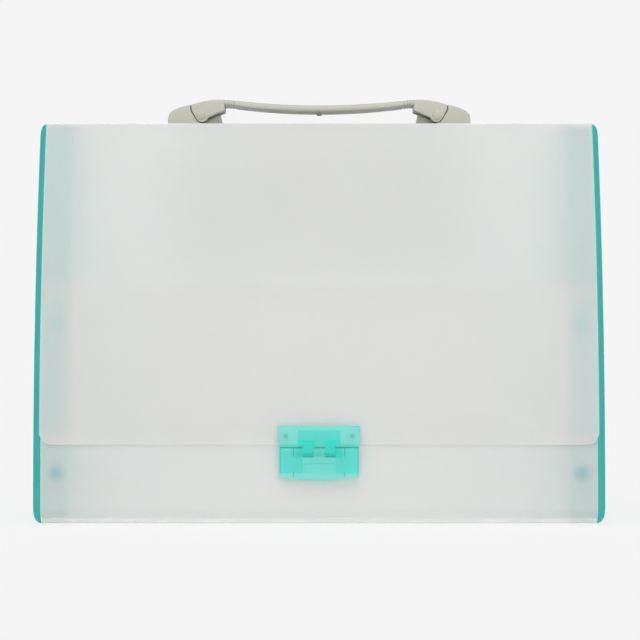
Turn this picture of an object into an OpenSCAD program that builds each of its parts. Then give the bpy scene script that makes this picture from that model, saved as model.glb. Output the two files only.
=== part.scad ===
// Portable file box for A4 papers, in millimetres.
// One frosted sheet is folded round two coloured end caps: front wall, base, back wall, lid and flap.
// The front face is an arc that leans back as it rises, so the box is deepest at its foot.
// +X is the width, -Y is the front, +Z is up, and the origin is on the floor under the middle.

/* [Case] */
// Width over both end caps
case_w = 345; // [300:1:420]
// Depth at the foot
case_d = 90; // [75:1:130]
// Height of the closed lid above the floor
case_h = 244; // [220:1:290]
// How far the front's top edge lies behind its foot
front_lean = 36; // [15:1:42]
// Radius of the two lower corners
corner_r = 10; // [7:0.5:16]
// Radius of the two upper corners of the end caps
brow_r = 3; // [2.5:0.5:5]

/* [Sheet] */
// Thickness of the folded sheet
sheet_t = 1; // [0.8:0.1:1.4]
// Height of the front wall's upper edge
wall_top = 143; // [100:1:180]
// Height of the flap's lower edge
flap_foot = 48; // [40:1:70]
// Radius of the sheet's free corners
sheet_corner_r = 7.5; // [4:0.5:15]
// Gap between sheets that slide past each other
sheet_gap = 0.3; // [0.2:0.05:0.5]
// How far the flap's sides overlap the rims
flap_overlap = 0.3; // [0:0.1:1]

/* [End caps] */
// Width of the coloured rim beside the sheet
rim_w = 4.6; // [3.5:0.1:8]
// How far the rim's rounding runs in over the outer face
rim_drop = 6.5; // [4:0.5:9]
// Wall of the end caps
cap_t = 2; // [1.5:0.1:3]
// Width of the flange under the sheet
flange_w = 18; // [12:0.5:25]
// Gap between sheet and flange
seat_gap = 0.15; // [0.1:0.05:0.3]
// Depth of the shallow dish in the outer face
dish_depth = 1.2; // [0.6:0.1:2]
// Border round the dish
dish_border = 9; // [5:0.5:14]
// Diameter of the weld bosses behind the flange
boss_d = 12; // [8:0.5:14]
// Height of the weld bosses
boss_h = 4; // [2:0.5:6]
// Height of the lower weld boss above the floor
boss_low = 31; // [24:1:40]
// Height of the middle weld boss above the floor
boss_mid = 120; // [90:1:140]
// Height of the upper weld boss above the floor
boss_high = 205; // [160:1:210]

/* [Latch] */
// Width of the latch plate on the flap
plate_w = 48.6; // [44:0.2:60]
// Height of the latch plate
plate_h = 12.2; // [10:0.2:16]
// Thickness of the latch plate
plate_t = 4.4; // [3.6:0.1:5]
// Wall of the latch plate round its hollow back
plate_wall = 1.4; // [1:0.1:1.8]
// Width of the hinge block in the middle of the plate
block_w = 25.7; // [20:0.1:28]
// Gap between the two hinge lugs
lug_gap = 7.2; // [6:0.1:8]
// Width of each hinge lug
lug_w = 6; // [5:0.1:6.5]
// Diameter of the latch pin
latch_pin_d = 1.8; // [1.4:0.1:2]
// Radius of the lever's barrel
barrel_r = 3; // [2.7:0.1:3.4]
// Wall of the lever
lever_t = 1.1; // [0.9:0.1:1.2]
// Width of the lever
lever_w = 47.5; // [43:0.1:58]
// Drop of the lever below the pin at the middle
lever_drop = 16.8; // [14:0.2:22]
// How much shorter the lever is at its sides
lever_bow = 1.9; // [1:0.1:3]
// Half width at which the lever's inner ribs stand
rib_x = 15.2; // [14.6:0.1:18]
// Running gap between the latch's parts
latch_gap = 0.3; // [0.2:0.05:0.4]
// Diameter of the rivet shanks
rivet_d = 1.8; // [1.4:0.1:2.2]
// Distance of the plate's rivets from its ends
rivet_edge = 4.3; // [3.5:0.1:5]
// Thickness of the catch's base
catch_t = 1.2; // [1:0.1:1.5]

/* [Handle] */
// Length over both shoes
handle_l = 189; // [175:1:230]
// Width of the grip from front to back
grip_w = 20; // [16:1:24]
// Distance of the pivot pins from the middle
pivot_x = 73.7; // [68:0.1:78]
// Height of the pivot pins above the lid
pivot_h = 7.1; // [7:0.1:8]
// Diameter of the pivot pins
pivot_d = 3; // [2.4:0.1:3.1]
// Diameter of the pins' heads
pivot_head_d = 6.2; // [5:0.1:7.4]
// Thickness of the pins' heads
pivot_head_t = 0.8; // [0.5:0.1:1.2]
// Distance of the flexing ends from the middle
flex_x = 56; // [50:0.5:58]
// Height of the flexing ends above the lid
flex_h = 14.6; // [14:0.05:15.2]
// Thickness of the grip at its ends
grip_end_t = 3.8; // [3:0.1:4.4]
// Thickness of the grip at the middle
grip_mid_t = 4.4; // [3.6:0.1:6]
// How far the grip's top sags at the middle
grip_sag = 3.3; // [0:0.1:4]
// Height of the small gate stub under the grip
stub_h = 1.5; // [0.8:0.1:2]
// How far the grip rises when it is lifted
lift = 7; // [4:0.5:8]
// Thickness of the web in each shoe
web_t = 6; // [5:0.2:8]
// Running gap between shoe and knuckle
shoe_gap = 0.4; // [0.3:0.05:0.6]
// Thickness of the shoe's foot
foot_t = 1.8; // [1.4:0.1:1.9]
// Thickness of the backing plate inside the lid
backing_t = 1.6; // [1.2:0.1:3]
// Diameter of the screw shanks
screw_d = 2.9; // [2.5:0.1:3.1]
// Diameter of the screw heads
screw_head_d = 5.6; // [5:0.1:6.5]
// Height of the screw heads
screw_head_h = 1.8; // [1.4:0.1:2.4]

/* [Hidden] */
$fn = 48;

teal = [0.25, 0.76, 0.71];
teal_light = [0.45, 0.85, 0.80];
frost = [0.88, 0.89, 0.89];
cream = [0.80, 0.80, 0.75];
metal = [0.72, 0.73, 0.74];

back_y = case_d / 2;
foot_y = -case_d / 2;
half_w = case_w / 2;
rim_x = half_w - rim_w;
seat = sheet_t + seat_gap;
flap_out = sheet_gap + sheet_t;
sheet_x = rim_x - sheet_gap;
flap_x = rim_x + flap_overlap;

// The front is an arc whose foot is upright where the lower corner starts.
front_r = (pow(case_h - corner_r, 2) + pow(front_lean, 2)) / (2 * front_lean);
arc_y = foot_y + front_r;
front_steps = 20;
corner_steps = 8;
brow_steps = 6;
rim_steps = 7;
cut_margin = 1;

function without_first(list) = [for (k = [1:len(list) - 1]) list[k]];
function backwards(list) = [for (k = [len(list) - 1:-1:0]) list[k]];
function arc_points(centre, r, from, to, n) = [
    for (k = [0:n]) let (a = from + (to - from) * k / n) centre + r * [cos(a), sin(a)]
];

// Y of the front face at height z, moved in by inset, and the turn of its normal there.
function front_y(z, inset) = arc_y - sqrt(pow(front_r - inset, 2) - pow(z - corner_r, 2));
function front_turn(z, inset) = asin((z - corner_r) / (front_r - inset));
function front_run(inset, z0, z1) =
    let (from = 180 - front_turn(z0, inset))
    let (to = 180 - front_turn(z1, inset))
    arc_points([arc_y, corner_r], front_r - inset, from, to, front_steps);

// Side view of the case as a closed loop of points, moved in by inset.
function outline(inset) =
    let (low_r = max(corner_r - inset, brow_r))
    let (low_z = inset + low_r)
    let (high_z = case_h - inset - brow_r)
    let (low_a = 180 - front_turn(low_z, inset + low_r))
    let (high_y = front_y(high_z, inset + brow_r))
    let (high_a = 180 - front_turn(high_z, inset + brow_r))
    concat(
        arc_points([front_y(low_z, inset + low_r), low_z], low_r, 270, low_a, corner_steps),
        without_first(arc_points([arc_y, corner_r], front_r - inset, low_a, high_a, front_steps)),
        without_first(arc_points([high_y, high_z], brow_r, high_a, 90, brow_steps)),
        arc_points([back_y - inset - brow_r, high_z], brow_r, 90, 0, brow_steps),
        arc_points([back_y - inset - low_r, low_z], low_r, 0, -90, corner_steps)
    );

// Side view of the folded wall from the front's upper edge round to the back's.
function wall_path(inset, back_top) = concat(
    arc_points([arc_y, corner_r], front_r - inset, 180 - front_turn(wall_top, inset), 180, front_steps),
    without_first(arc_points([foot_y + corner_r, corner_r], corner_r - inset, 180, 270, corner_steps)),
    arc_points([back_y - corner_r, corner_r], corner_r - inset, 270, 360, corner_steps),
    [[back_y - inset, back_top]]
);

// Draws a side view (y, z) as a solid from x0 to x1.
module along_x(x0, x1) {
    translate([x0, 0, 0])
        rotate([90, 0, 90])
            linear_extrude(x1 - x0)
                children();
}

// Draws a front view (x, z) as a solid from y0 to y1.
module along_y(y0, y1) {
    translate([0, y1, 0])
        rotate([90, 0, 0])
            linear_extrude(y1 - y0)
                children();
}

// Closed skin through rings, each given as its x and its inset from the case's outline.
module loft(rings) {
    count = len(outline(0));
    last = (len(rings) - 1) * count;
    points = [for (ring = rings) for (p = outline(ring[1])) [ring[0], p[0], p[1]]];
    sides = [
        for (j = [0:len(rings) - 2])
            for (k = [0:count - 1])
                let (a = j * count + k)
                let (b = j * count + (k + 1) % count)
                for (face = [[a, b, b + count], [a, b + count, a + count]]) face
    ];
    first_face = [for (k = [count - 1:-1:0]) k];
    last_face = [for (k = [0:count - 1]) last + k];
    polyhedron(points = points, faces = concat([first_face], sides, [last_face]));
}

// Rounds a free corner of the front at (x, z); up is 1 for a lower corner and -1 for an upper one.
module corner_cut(x, z, up) {
    side = sign(x);
    centre = [x - side * sheet_corner_r, foot_y, z + up * sheet_corner_r];
    difference() {
        translate([x, foot_y, z])
            cube([2 * sheet_corner_r, case_d, 2 * sheet_corner_r], center = true);
        translate(centre)
            rotate([90, 0, 0])
                cylinder(r = sheet_corner_r, h = case_d + cut_margin, center = true);
    }
}

// One bent sheet: front wall, base and back wall, up to the crease where the lid starts.
module wall_sheet() {
    crease_z = case_h - sheet_t - sheet_gap;
    color(frost)
        difference() {
            along_x(-sheet_x, sheet_x)
                polygon(concat(wall_path(0, crease_z), backwards(wall_path(sheet_t, crease_z))));
            for (side = [-1, 1])
                corner_cut(side * sheet_x, wall_top, -1);
            at_latch()
                for (side = [-1, 1])
                    rivet_hole(side * catch_rivet_x, catch_rivet_z);
        }
}

// Weld boss behind the flange, standing square to the wall that it holds.
module boss(y, z, turn) {
    translate([rim_x - flange_w / 2, y, z])
        rotate([-turn, 0, 0])
            rotate([-90, 0, 0])
                translate([0, 0, cap_t / 2])
                    cylinder(d = boss_d, h = boss_h + cap_t / 2);
}

// Moulded end cap of the right side: rim, dished outer face, flange and weld bosses.
module end_cap() {
    hollow = seat + cap_t;
    mouth_x = rim_x - flange_w;
    dish_in = rim_drop + dish_border;
    rim_rings = [
        for (k = [0:rim_steps])
            let (a = 90 * k / rim_steps)
            [rim_x + rim_w * sin(a), rim_drop * (1 - cos(a))]
    ];
    loft(concat(
        [[half_w - dish_depth - cap_t, hollow], [mouth_x, hollow], [mouth_x, seat], [rim_x, seat]],
        rim_rings,
        [[half_w, dish_in], [half_w - dish_depth, dish_in + dish_depth]]
    ));
    for (z = [boss_low, boss_mid])
        boss(front_y(z, seat), z, front_turn(z, seat));
    for (z = [boss_low, boss_mid, boss_high])
        mirror([0, 1, 0])
            boss(-back_y + seat, z, 0);
}

module right_end_cap() {
    color(teal)
        end_cap();
}

module left_end_cap() {
    color(teal)
        mirror([1, 0, 0])
            end_cap();
}

// The lid's flat top, creased to the back wall behind and to the flap in front.
lid_hinge_y = back_y;
flap_hinge_y = front_y(case_h, -flap_out);
lid_front_y = front_y(case_h, -sheet_gap) + sheet_gap;
handle_y = (lid_front_y + back_y) / 2;

module lid_top() {
    color(frost)
        difference() {
            translate([-sheet_x, lid_front_y, case_h - sheet_t])
                cube([2 * sheet_x, lid_hinge_y - lid_front_y, sheet_t]);
            at_screws()
                translate([0, 0, -sheet_t - cut_margin])
                    cylinder(d = screw_d + 2 * screw_clear, h = sheet_t + 2 * cut_margin);
        }
}

// The flap hangs over the front wall and carries the latch.
module flap() {
    color(frost)
        difference() {
            along_x(-flap_x, flap_x)
                polygon(concat(
                    front_run(-flap_out, flap_foot, case_h),
                    backwards(front_run(-sheet_gap, flap_foot, case_h))
                ));
            for (side = [-1, 1])
                corner_cut(side * flap_x, flap_foot, 1);
            at_latch()
                for (side = [-1, 1])
                    rivet_hole(side * plate_rivet_x, plate_rivet_z);
        }
}

// The latch is drawn about its pin: x across, -y out of the box, z up along the leaning front.
plate_low = barrel_r + latch_gap;
pin_above_wall = barrel_r + latch_gap;
pin_above_flap = pin_above_wall - flap_out;
latch_z = flap_foot - plate_low - sheet_t;
lug_far = lug_gap / 2 + lug_w;
knuckle_x = max(block_w / 2, lug_far + latch_gap + lever_t);
pin_clear = 0.05;
ear_w = 2;
head_over = 0.4;
head_h = 0.5;
inner_head_d = rivet_d + 2;
inner_head_h = 0.8;
latch_flat = 0.05;
catch_wall = 1.2;
catch_x = rib_x - 2 * latch_gap;
catch_top = -barrel_r - latch_gap;
catch_low = -lever_drop + lever_bow;
catch_rivet_x = catch_x - catch_wall - rivet_d / 2 - head_over - latch_gap;
catch_rivet_z = (catch_top + catch_low) / 2;
snap_z = catch_low * 0.6;
plate_rivet_x = plate_w / 2 - rivet_edge;
plate_rivet_z = plate_low + plate_h / 2;

module at_latch() {
    lean = front_turn(latch_z, -flap_out);
    translate([0, front_y(latch_z, -flap_out), latch_z])
        rotate([-lean, 0, 0])
            translate([0, -pin_above_flap, 0])
                children();
}

// Turns a cylinder to run outwards, from y = from to y = to.
module stud(x, z, d, from, to) {
    translate([x, from, z])
        rotate([90, 0, 0])
            cylinder(d = d, h = from - to);
}

// Hole for a rivet through whatever lies near the latch.
module rivet_hole(x, z) {
    reach = pin_above_wall + plate_t;
    stud(x, z, rivet_d + 2 * pin_clear, reach, -reach);
}

// Plate riveted on the flap, hollow behind, with two lugs that reach down to the pin.
module latch_plate() {
    back = pin_above_flap - latch_flat;
    front = back - plate_t;
    pocket_w = plate_rivet_x - rivet_d / 2 - plate_wall - block_w / 2;
    neck_in = min(barrel_r, back);
    color(teal_light)
        at_latch()
            difference() {
                union() {
                    translate([-plate_w / 2, front, plate_low])
                        cube([plate_w, plate_t, plate_h]);
                    for (side = [-1, 1])
                        translate([side * (lug_gap + lug_w) / 2 - lug_w / 2, 0, 0]) {
                            rotate([0, 90, 0])
                                cylinder(r = barrel_r, h = lug_w);
                            translate([0, -barrel_r, 0])
                                cube([lug_w, barrel_r + neck_in, plate_low + barrel_r]);
                        }
                }
                for (side = [-1, 1])
                    translate([side * (block_w + pocket_w) / 2, front + plate_wall, plate_low + plate_wall])
                        translate([-pocket_w / 2, 0, 0])
                            cube([pocket_w, plate_t, plate_h - 2 * plate_wall]);
                for (side = [-1, 1])
                    rivet_hole(side * plate_rivet_x, plate_rivet_z);
                translate([-plate_w, 0, 0])
                    rotate([0, 90, 0])
                        cylinder(d = latch_pin_d + 2 * pin_clear, h = 2 * plate_w);
            }
}

// Two flush rivets through plate and flap.
module plate_rivets() {
    front = pin_above_flap - latch_flat - plate_t;
    color(teal)
        at_latch()
            for (side = [-1, 1]) {
                stud(side * plate_rivet_x, plate_rivet_z, rivet_d, pin_above_flap + sheet_t, front);
                stud(side * plate_rivet_x, plate_rivet_z, rivet_d + 2 * head_over, front, front - head_h);
            }
}

// Thumb lever: a shell that swings up and out about the pin, open in front where the plate's lugs are.
module latch_lever() {
    inner_r = barrel_r - lever_t;
    side_x = lever_w / 2;
    bow_r = (side_x * side_x + lever_bow * lever_bow) / (2 * lever_bow);
    back = barrel_r - latch_gap;
    ridge_w = 16;
    color(teal_light)
        at_latch()
            difference() {
                intersection() {
                    union() {
                        along_x(-side_x, side_x)
                            translate([-barrel_r, -lever_drop])
                                square([lever_t, lever_drop]);
                        along_x(-side_x, side_x)
                            shell_top(inner_r);
                        along_x(-knuckle_x, knuckle_x)
                            circle(r = barrel_r);
                        for (side = [-1, 1]) {
                            along_x_both(side, rib_x, rib_x + ear_w)
                                circle(r = barrel_r);
                            along_x_both(side, rib_x, rib_x + lever_t)
                                translate([-barrel_r, catch_low])
                                    square([barrel_r, -catch_low]);
                            along_x_both(side, side_x - lever_t, side_x)
                                circle(r = barrel_r);
                            along_x_both(side, side_x - lever_t, side_x)
                                translate([-barrel_r, -lever_drop])
                                    square([barrel_r + back, lever_drop]);
                        }
                        translate([-ridge_w / 2, -inner_r - latch_gap, snap_z - lever_t])
                            cube([ridge_w, lever_t, lever_t]);
                    }
                    translate([0, 0, bow_r - lever_drop])
                        rotate([90, 0, 0])
                            cylinder(r = bow_r, h = 4 * barrel_r, center = true, $fn = 180);
                }
                for (side = [-1, 1])
                    along_x_both(side, lug_gap / 2 - latch_gap, lug_far + latch_gap)
                        translate([-2 * barrel_r, -barrel_r - latch_gap])
                            square([4 * barrel_r, 3 * barrel_r]);
                translate([-rib_x - ear_w + lever_t / 2, 0, 0])
                    rotate([0, 90, 0])
                        cylinder(d = latch_pin_d + 2 * pin_clear, h = 2 * (rib_x + ear_w) - lever_t);
            }
}

// Draws a side view between two distances from the middle, on the side given as 1 or -1.
module along_x_both(side, x0, x1) {
    along_x(side > 0 ? x0 : -x1, side > 0 ? x1 : -x0)
        children();
}

// Quarter ring that carries the lever's shell up over its barrel.
module shell_top(inner_r) {
    difference() {
        intersection() {
            circle(r = barrel_r);
            translate([-barrel_r, 0])
                square(barrel_r);
        }
        circle(r = inner_r);
    }
}

// Pin through the plate's lugs and the lever's knuckles.
module latch_pin() {
    pin_x = rib_x + ear_w - lever_t;
    color(metal)
        at_latch()
            translate([-pin_x, 0, 0])
                rotate([0, 90, 0])
                    cylinder(d = latch_pin_d, h = 2 * pin_x);
}

// Catch riveted on the front wall under the lever, with two side walls and a snap bar.
module latch_catch() {
    back = pin_above_wall - latch_flat;
    bar_w = 2 * (catch_rivet_x - rivet_d / 2 - head_over - latch_gap);
    bar_z = snap_z + latch_gap;
    bar_front = -barrel_r + lever_t + 2 * latch_gap;
    color(teal)
        at_latch()
            difference() {
                union() {
                    translate([-catch_x, back - catch_t, catch_low])
                        cube([2 * catch_x, catch_t, catch_top - catch_low]);
                    for (side = [-1, 1])
                        translate([side * (catch_x - catch_wall / 2) - catch_wall / 2, 0, catch_low])
                            cube([catch_wall, back, catch_top - catch_low]);
                    translate([-bar_w / 2, bar_front, bar_z])
                        cube([bar_w, back - bar_front, catch_wall]);
                }
                for (side = [-1, 1])
                    rivet_hole(side * catch_rivet_x, catch_rivet_z);
            }
}

// Two rivets that hold the catch, with round heads inside the box.
module catch_rivets() {
    face = pin_above_wall - latch_flat - catch_t;
    inside = pin_above_wall + sheet_t + seat_gap;
    color(teal)
        at_latch()
            for (side = [-1, 1]) {
                stud(side * catch_rivet_x, catch_rivet_z, rivet_d, inside, face);
                stud(side * catch_rivet_x, catch_rivet_z, rivet_d + 2 * head_over, face, face - head_h);
                stud(side * catch_rivet_x, catch_rivet_z, inner_head_d, inside + inner_head_h, inside);
            }
}

// The handle is drawn about the middle of the lid's top face.
screw_clear = 0.15;
pilot_clear = 0.05;
flex_r = grip_end_t / 2;
flex_gap = 0.3;
arm_x = pivot_x - flex_x;
arm_z = flex_h - pivot_h;
arm_l = sqrt(arm_x * arm_x + arm_z * arm_z);
arm_rest = atan(arm_z / arm_x);
arm_turn = asin((arm_z + lift) / arm_l) - arm_rest;
pin_slide = arm_x - arm_l * cos(arm_rest + arm_turn);
pin_dip = arm_l * sin(arm_rest + arm_turn / 2) - arm_z - lift / 2;
heel = [-6.3, 6.4];
flank_h = 3;
nose = [0.3, -0.7];
nose_r = 4;
nose_a = 151;
roof_t = 1;
roof_bulge = 1.1;
roof_start = -3;
knuckle_end = 14.6;
block_inner = heel[0] - 1.5 * shoe_gap;
tongue_inner = roof_start - 2 * shoe_gap;
web_inner = knuckle_end - roof_t - shoe_gap / 2;
web_rise = 1.3;
web_hook = [8, 0.5];
notch = [[5.5, -0.6], [3.8, -2.2], [3.8, -2.9]];
toe = [[8.9, -0.9], [11.8, 0.5]];
toe_h = 2.5;
slope_power = 0.27;
slot_clear = 0.25;
screw_edge = 6.5;
outer_screw_x = handle_l / 2 - screw_edge;
inner_screw_x = pivot_x - web_inner + 1.15 * screw_d;
screw_y = grip_w * 0.3;
screw_reach = 4.2;

module at_handle() {
    translate([0, handle_y, case_h])
        children();
}

module at_screws() {
    at_handle()
        for (side = [-1, 1]) {
            for (y = [-screw_y, screw_y])
                translate([side * outer_screw_x, y, 0])
                    children();
            translate([side * inner_screw_x, 0, 0])
                children();
        }
}

// Strip inside the lid that spreads the handle's load.
module backing_plate() {
    color(cream)
        difference() {
            at_handle()
                translate([-handle_l / 2, -grip_w / 2, -sheet_t - backing_t])
                    cube([handle_l, grip_w, backing_t]);
            at_screws()
                translate([0, 0, -sheet_t - backing_t - cut_margin])
                    cylinder(d = screw_d + 2 * screw_clear, h = backing_t + 2 * cut_margin);
        }
}

// Six screws from inside the lid into the two shoes.
module shoe_screws() {
    under = -sheet_t - backing_t;
    color(metal)
        at_screws() {
            translate([0, 0, under])
                cylinder(d = screw_d, h = screw_reach - under);
            translate([0, 0, under - screw_head_h])
                cylinder(d = screw_head_d, h = screw_head_h);
        }
}

function off_pin(points) = [for (p = points) [p[0] - pivot_x, p[1] + pivot_h]];

// Left shoe: foot, outer block hollowed round the knuckle's nose, and a web whose slot lets the pivot
// pin slide.
module shoe() {
    outer = -handle_l / 2;
    block_x = -pivot_x + block_inner;
    inner = -pivot_x + web_inner;
    top = pivot_h + heel[1];
    web_top = pivot_d / 2 + web_rise;
    slot_r = pivot_d / 2 + slot_clear + abs(pin_dip) / 2;
    slot_z = pivot_h - abs(pin_dip) / 2;
    slope = [
        for (k = [0:2 * corner_steps])
            let (t = pow(k / (2 * corner_steps), 1 / slope_power))
            [outer + (block_x - outer) * t, toe_h + (top - toe_h) * pow(t, slope_power)]
    ];
    pocket = off_pin(concat(
        [[block_inner, flank_h]],
        arc_points(nose, nose_r + shoe_gap, -nose_a, -90, 2 * corner_steps)
    ));
    at_handle()
        difference() {
            union() {
                translate([outer, -grip_w / 2, 0])
                    cube([inner - outer, grip_w, foot_t]);
                along_y(-grip_w / 2, grip_w / 2)
                    polygon(concat([[outer, 0]], slope, pocket, [[nose[0] - pivot_x, 0]]));
                along_y(-web_t / 2, web_t / 2)
                    polygon(off_pin(concat(
                        [[block_inner, -pivot_h], [block_inner, heel[1]], [tongue_inner, heel[1]]],
                        [[tongue_inner, web_top], [web_hook[0], web_top], web_hook],
                        notch, toe, [[web_inner, -pivot_h]]
                    )));
            }
            translate([-pivot_x, 0, slot_z])
                rotate([90, 0, 0])
                    cylinder(r = slot_r, h = grip_w, center = true);
            translate([-pivot_x + pin_slide, 0, slot_z])
                rotate([90, 0, 0])
                    cylinder(r = slot_r, h = grip_w, center = true);
            translate([-pivot_x, -grip_w / 2, slot_z - slot_r])
                cube([pin_slide, grip_w, 2 * slot_r]);
            for (y = [-screw_y, screw_y])
                translate([-outer_screw_x, y, -cut_margin])
                    cylinder(d = screw_d + 2 * pilot_clear, h = screw_reach + 2 * cut_margin);
            translate([-inner_screw_x, 0, -cut_margin])
                cylinder(d = screw_d + 2 * pilot_clear, h = screw_reach + 2 * cut_margin);
        }
}

module left_shoe() {
    color(cream)
        shoe();
}

module right_shoe() {
    color(cream)
        mirror([1, 0, 0])
            shoe();
}

// Points of the knuckle's roof between two distances from the pin, drop below its top face.
function roof_points(x0, x1, drop) = [
    for (k = [0:corner_steps])
        let (x = x0 + (x1 - x0) * k / corner_steps)
        let (t = (x - heel[0]) / (knuckle_end - heel[0]))
        [x, heel[1] + (arm_z + flex_r - heel[1]) * t + roof_bulge * 4 * t * (1 - t) - drop]
];

// Left knuckle: two cheeks astride the web, a roof over them, and the arm to the flexing end.
module knuckle() {
    chin = [knuckle_end - 3.7, 1.15];
    jaw_h = 2.6;
    slot_w = web_t + 2 * shoe_gap;
    arm_top = arm_z + flex_r;
    arm_low = arm_z - flex_r;
    roof_end = knuckle_end - roof_t;
    far = grip_w;
    roof = roof_points(heel[0], knuckle_end, 0);
    ceiling = roof_points(roof_start, roof_end, roof_t);
    at_handle()
        translate([-pivot_x, 0, pivot_h])
            difference() {
                union() {
                    along_y(-grip_w / 2, grip_w / 2)
                        polygon(concat(
                            roof,
                            [[knuckle_end, jaw_h], chin],
                            arc_points(nose, nose_r, -17, -nose_a, 2 * corner_steps),
                            [[heel[0], flank_h]]
                        ));
                    translate([knuckle_end - roof_t, -grip_w / 2, arm_low])
                        cube([arm_x - roof_end, grip_w, 2 * flex_r]);
                    translate([arm_x, 0, arm_z])
                        rotate([90, 0, 0])
                            cylinder(r = flex_r, h = grip_w, center = true);
                }
                along_y(-slot_w / 2, slot_w / 2)
                    polygon(concat(
                        [[-far, -far], [-far, far], [roof_start, far]],
                        ceiling,
                        [[roof_end, -far]]
                    ));
                rotate([90, 0, 0])
                    cylinder(d = pivot_d + 2 * pin_clear, h = grip_w + cut_margin, center = true);
            }
}

module left_knuckle() {
    color(cream)
        knuckle();
}

module right_knuckle() {
    color(cream)
        mirror([1, 0, 0])
            knuckle();
}

// Pivot pin with a flat round head at each end.
module pivot_pin(side) {
    color(cream)
        at_handle() {
            reach = grip_w / 2;
            stud(side * pivot_x, pivot_h, pivot_d, reach, -reach);
            stud(side * pivot_x, pivot_h, pivot_head_d, reach + pivot_head_t, reach);
            stud(side * pivot_x, pivot_h, pivot_head_d, -reach, -reach - pivot_head_t);
        }
}

module left_pivot_pin() {
    pivot_pin(-1);
}

module right_pivot_pin() {
    pivot_pin(1);
}

// Grip: a strap that is thickest at the middle, hollowed at each end round the flexing knuckle.
grip_steps = 24;

function grip_top(x) = flex_h + flex_r - grip_sag * (1 - pow(x / flex_x, 2));
function grip_depth(x) = grip_end_t + (grip_mid_t - grip_end_t) * (1 - pow(x / flex_x, 2));

module grip_strap() {
    top = [
        for (k = [0:grip_steps])
            let (x = -flex_x + 2 * flex_x * k / grip_steps)
            [x, grip_top(x)]
    ];
    low = [
        for (k = [grip_steps:-1:0])
            let (x = -flex_x + 2 * flex_x * k / grip_steps)
            [x, grip_top(x) - grip_depth(x)]
    ];
    stub_z = grip_top(0) - grip_depth(0);
    stub_w = 1.6;
    color(cream)
        at_handle()
            difference() {
                union() {
                    along_y(-grip_w / 2, grip_w / 2)
                        polygon(concat(top, low));
                    translate([0, 0, stub_z - stub_h])
                        cylinder(d = 2 * stub_w, h = stub_h + 1);
                }
                for (side = [-1, 1])
                    translate([side * flex_x, 0, flex_h])
                        rotate([90, 0, 0])
                            cylinder(r = flex_r + flex_gap, h = grip_w + cut_margin, center = true);
            }
}

wall_sheet();
left_end_cap();
right_end_cap();
lid_top();
flap();
latch_plate();
plate_rivets();
latch_lever();
latch_pin();
latch_catch();
catch_rivets();
backing_plate();
shoe_screws();
left_shoe();
right_shoe();
left_knuckle();
right_knuckle();
left_pivot_pin();
right_pivot_pin();
grip_strap();
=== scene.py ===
import math

import bmesh
import bpy
import numpy as np
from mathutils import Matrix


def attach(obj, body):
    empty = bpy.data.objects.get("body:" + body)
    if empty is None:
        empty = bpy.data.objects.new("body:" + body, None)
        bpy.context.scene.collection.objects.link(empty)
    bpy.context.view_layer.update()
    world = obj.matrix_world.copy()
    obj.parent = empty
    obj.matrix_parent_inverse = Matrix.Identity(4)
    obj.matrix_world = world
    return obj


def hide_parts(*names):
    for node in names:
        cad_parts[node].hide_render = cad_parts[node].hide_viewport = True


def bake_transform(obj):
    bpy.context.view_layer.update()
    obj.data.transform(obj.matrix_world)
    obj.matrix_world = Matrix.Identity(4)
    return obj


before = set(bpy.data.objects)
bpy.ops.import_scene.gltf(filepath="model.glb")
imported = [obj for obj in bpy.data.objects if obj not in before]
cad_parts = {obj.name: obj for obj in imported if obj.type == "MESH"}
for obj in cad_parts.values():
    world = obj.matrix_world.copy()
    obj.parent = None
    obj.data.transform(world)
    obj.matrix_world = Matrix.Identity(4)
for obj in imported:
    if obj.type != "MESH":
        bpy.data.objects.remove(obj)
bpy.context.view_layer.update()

# The folded sheet: one piece of frosted clear polypropylene, 1 mm thick, die-cut and bent.
# It makes the front wall, the base and the back wall, and is welded to the end caps' flanges.
# Lengths are in millimetres until a mesh is made, which turns them into metres.
MM = 0.001
CASE_W, CASE_D, CASE_H = 345.0, 90.0, 244.0
FRONT_LEAN = 36.0
CORNER_R = 10.0
SHEET_T, SHEET_GAP = 1.0, 0.3
SHEET_CORNER_R = 7.5
WALL_TOP = 143.0
RIM_W = 4.6
RIM_X = CASE_W / 2 - RIM_W
SHEET_X = RIM_X - SHEET_GAP
BACK_Y, FOOT_Y = CASE_D / 2, -CASE_D / 2
FRONT_R = ((CASE_H - CORNER_R) ** 2 + FRONT_LEAN ** 2) / (2 * FRONT_LEAN)
ARC_Y = FOOT_Y + FRONT_R
SHARP_TURN = 35
SAME_POINT_M, NO_LENGTH_M = 1e-7, 1e-8


def arc(centre, radius, start, end, steps):
    """Points centre + radius (cos a, sin a), with a spread evenly from start to end in degrees."""
    a = np.radians(np.linspace(start, end, steps + 1))
    return np.asarray(centre) + radius * np.stack([np.cos(a), np.sin(a)], axis=1)


def front_y(z, inset):
    """Y of the leaning front: a circle of radius FRONT_R - inset about (ARC_Y, CORNER_R)."""
    return ARC_Y - np.sqrt((FRONT_R - inset) ** 2 - (z - CORNER_R) ** 2)


def front_turn(z, inset):
    """Lean of the front at height z, in degrees: the arc sine of height over radius."""
    return math.degrees(math.asin((z - CORNER_R) / (FRONT_R - inset)))


def joined(*runs):
    """Runs of points one after another, without the points that repeat."""
    points = np.concatenate(runs)
    step = np.linalg.norm(np.diff(points, axis=0), axis=1)
    return points[np.concatenate([[True], step > 1e-6])]


def smoothed(mesh):
    """The mesh shaded smooth, but for its edges that turn by more than SHARP_TURN degrees."""
    mesh.polygons.foreach_set("use_smooth", np.ones(len(mesh.polygons), bool))
    mesh.set_sharp_from_angle(angle=math.radians(SHARP_TURN))
    return mesh


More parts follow.
